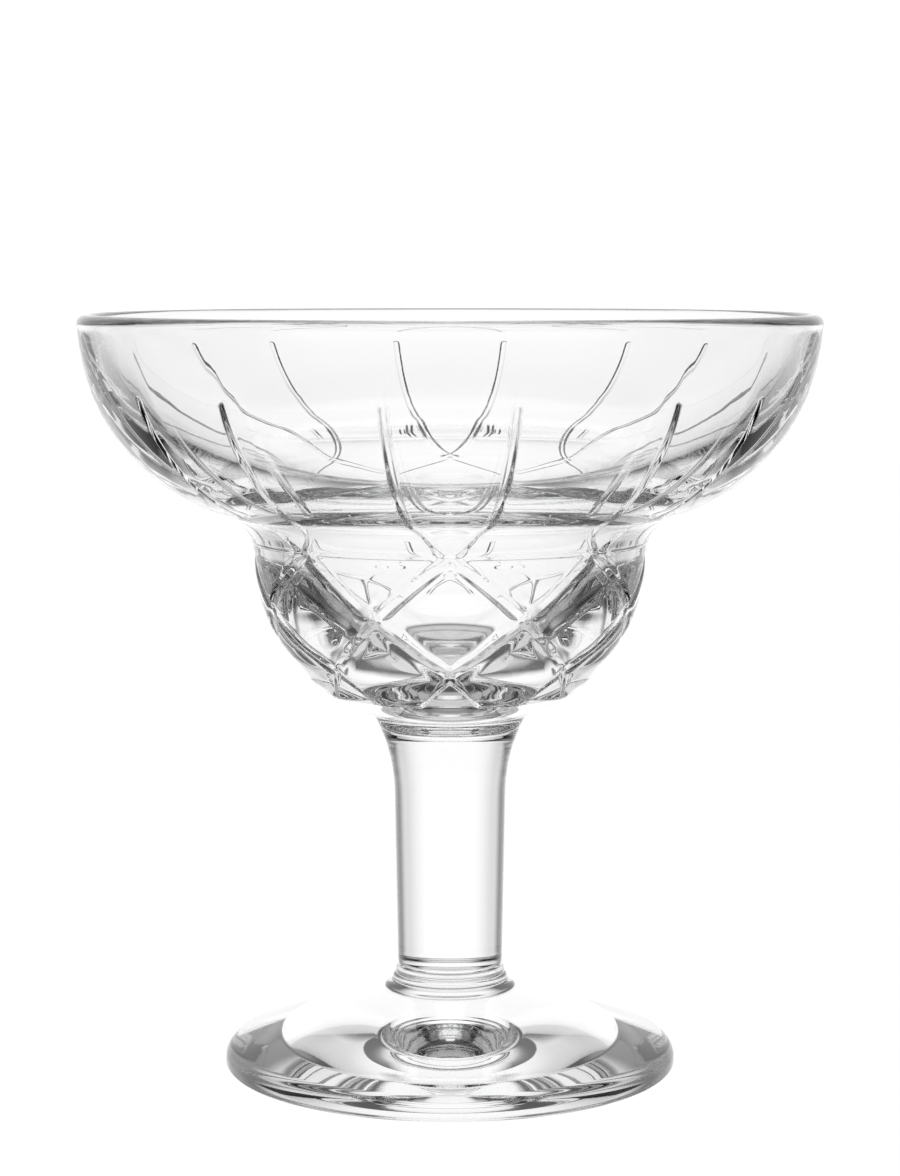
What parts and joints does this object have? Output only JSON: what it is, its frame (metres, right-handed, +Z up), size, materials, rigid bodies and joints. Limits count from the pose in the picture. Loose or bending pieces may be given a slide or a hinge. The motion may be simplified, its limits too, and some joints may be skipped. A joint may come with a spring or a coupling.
{
  "type": "margarita glass",
  "caption": "Clear pressed margarita glass: wide flared bowl over a round bulb with a cut lattice, on a solid round stem and a broad round foot.",
  "frame": {"origin": "centre of the ring under the foot, on the surface that the glass stands on", "axes": "+Z up along the axis of the glass, -Y towards the front, where a pair of grooves meets in the middle"},
  "size_m": [0.115, 0.115, 0.1182],
  "materials": {
    "bowl_glass": "clear, fire-polished, with a pressed cut pattern outside",
    "stem_glass": "clear, fire-polished, smooth",
    "foot_glass": "clear, fire-polished, smooth, slightly wavy under the foot"
  },
  "bodies": {
    "root": {"bowl": "bowl_glass", "stem": "stem_glass", "foot": "foot_glass"}
  },
  "joints": []
}
